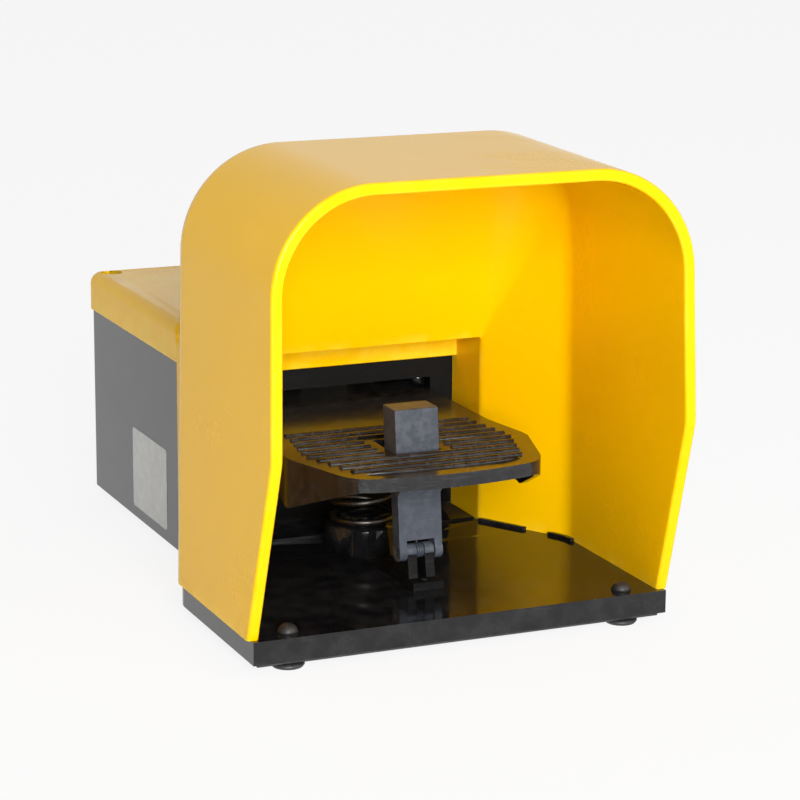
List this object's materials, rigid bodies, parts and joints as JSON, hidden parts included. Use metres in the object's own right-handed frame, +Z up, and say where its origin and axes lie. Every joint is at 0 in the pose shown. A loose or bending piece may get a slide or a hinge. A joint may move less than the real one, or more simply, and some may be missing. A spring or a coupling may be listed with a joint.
{
  "type": "foot switch",
  "caption": "Guarded industrial foot switch: ribbed treadle with a toe latch under a tall yellow hood, on a black base with a yellow-lidded switch housing and a cable gland.",
  "frame": {"origin": "on the ground, in the middle of the whole part's width and length", "axes": "+X to the right and +Y away from the user, towards the housing and the cable entry; +Z up; the hood opens towards -Y"},
  "size_m": [0.163, 0.2904, 0.172],
  "materials": {
    "hood_yellow": "smooth gloss yellow",
    "base_black": "gloss black",
    "plate_black": "matt black",
    "treadle_black": "satin black",
    "latch_grey": "matt grey",
    "bracket_black": "satin black paint",
    "zinc_steel": "zinc plated",
    "spring_steel": "dark drawn wire",
    "foot_rubber": "matt black rubber",
    "seal_rubber": "matt dark grey rubber",
    "bush_bronze": "sintered bronze",
    "terminal_brass": "plain brass",
    "block_cream": "matt cream",
    "plunger_red": "matt red",
    "gland_black": "satin black"
  },
  "bodies": {
    "base": {"base_housing": "base_black", "bottom_plate": "plate_black", "bottom_screws": "zinc_steel", "rubber_feet": "foot_rubber", "hood": "hood_yellow", "hood_screws": "zinc_steel", "housing_lid": "hood_yellow", "lid_gasket": "seal_rubber", "lid_screws": "zinc_steel", "shaft_bushes": "bush_bronze", "bearing_caps": "plate_black", "cap_screws": "zinc_steel", "return_spring": "spring_steel", "latch_bracket": "bracket_black", "bracket_screws": "zinc_steel", "latch_spring": "zinc_steel", "contact_bridge": "zinc_steel", "bridge_screws": "zinc_steel", "contact_blocks": "block_cream", "block_screws": "zinc_steel", "terminal_screws": "terminal_brass", "gland_body": "gland_black", "gland_nut": "gland_black", "gland_seal": "seal_rubber", "gland_locknut": "gland_black", "earth_terminal": "terminal_brass", "earth_screw": "terminal_brass"},
    "treadle_set": {"treadle": "treadle_black", "hinge_shaft": "zinc_steel", "shaft_clips": "spring_steel"},
    "latch": {"safety_latch": "latch_grey", "latch_pin": "zinc_steel"},
    "plungers": {"contact_plungers": "plunger_red"}
  },
  "joints": [
    {"name": "treadle_hinge", "type": "hinge", "parent": "base", "child": "treadle_set", "pos_m": [0, 0.03325, 0.052], "axis": [1, 0, 0], "range_deg": [0, 8], "stiffness_Nm_per_rad": 6, "springref_deg": -10.03, "deforming": ["return_spring"]},
    {"name": "latch_hinge", "type": "hinge", "parent": "base", "child": "latch", "pos_m": [0, -0.08425, 0.0245], "axis": [1, 0, 0], "range_deg": [-16, 0], "stiffness_Nm_per_rad": 0.02, "springref_deg": 20.05},
    {"name": "plunger_slide", "type": "slide", "parent": "base", "child": "plungers", "axis": [0, 0, 1], "range_m": [0, 0.003]}
  ],
  "couplings": [
    {"joint": "latch_hinge", "follows": "treadle_hinge", "ratio": -2},
    {"joint": "plunger_slide", "follows": "treadle_hinge", "m_per_rad": 0.02}
  ]
}
